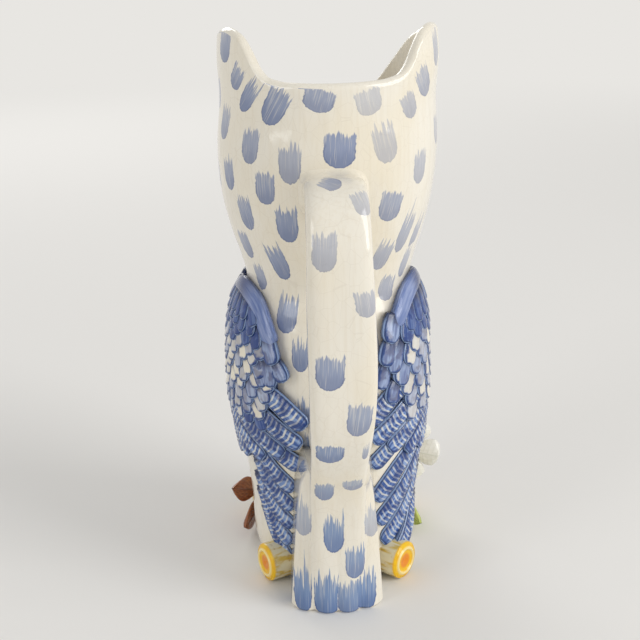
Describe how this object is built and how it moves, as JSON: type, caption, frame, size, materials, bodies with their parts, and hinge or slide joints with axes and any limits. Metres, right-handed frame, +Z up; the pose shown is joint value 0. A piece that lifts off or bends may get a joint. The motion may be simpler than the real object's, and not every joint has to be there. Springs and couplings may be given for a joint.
{
  "type": "owl pitcher",
  "caption": "Owl-shaped earthenware pitcher: eared open head with a V lip, strap handle behind, relief wings, fanned tail, feet on a perch, sprigged flower.",
  "frame": {"origin": "centre of the flat underside, on the table", "axes": "+Z up, the owl faces -Y, its handle and tail are at +Y, its left wing is at +X"},
  "size_m": [0.1083, 0.1449, 0.25],
  "materials": {
    "cream_glaze": "glossy clear glaze over hand-painted colour",
    "blue_wing_glaze": "glossy clear glaze over hand-painted colour",
    "eye_glaze": "glossy clear glaze over hand-painted colour",
    "ochre_glaze": "glossy clear glaze over hand-painted colour",
    "branch_glaze": "glossy clear glaze over hand-painted colour",
    "white_petal_glaze": "glossy clear glaze over hand-painted colour",
    "flower_centre_glaze": "glossy clear glaze over hand-painted colour",
    "green_leaf_glaze": "glossy clear glaze over hand-painted colour",
    "rust_leaf_glaze": "glossy clear glaze over hand-painted colour"
  },
  "bodies": {
    "root": {"vessel": "cream_glaze", "handle": "cream_glaze", "left_wing": "blue_wing_glaze", "right_wing": "blue_wing_glaze", "tail": "cream_glaze", "beak": "ochre_glaze", "left_eye": "eye_glaze", "right_eye": "eye_glaze", "perch_branch": "branch_glaze", "left_stub": "branch_glaze", "right_stub": "branch_glaze", "left_foot": "ochre_glaze", "right_foot": "ochre_glaze", "flower": "white_petal_glaze", "flower_centre": "flower_centre_glaze", "left_leaf": "rust_leaf_glaze", "low_leaf": "rust_leaf_glaze", "right_leaf": "green_leaf_glaze"}
  },
  "joints": []
}
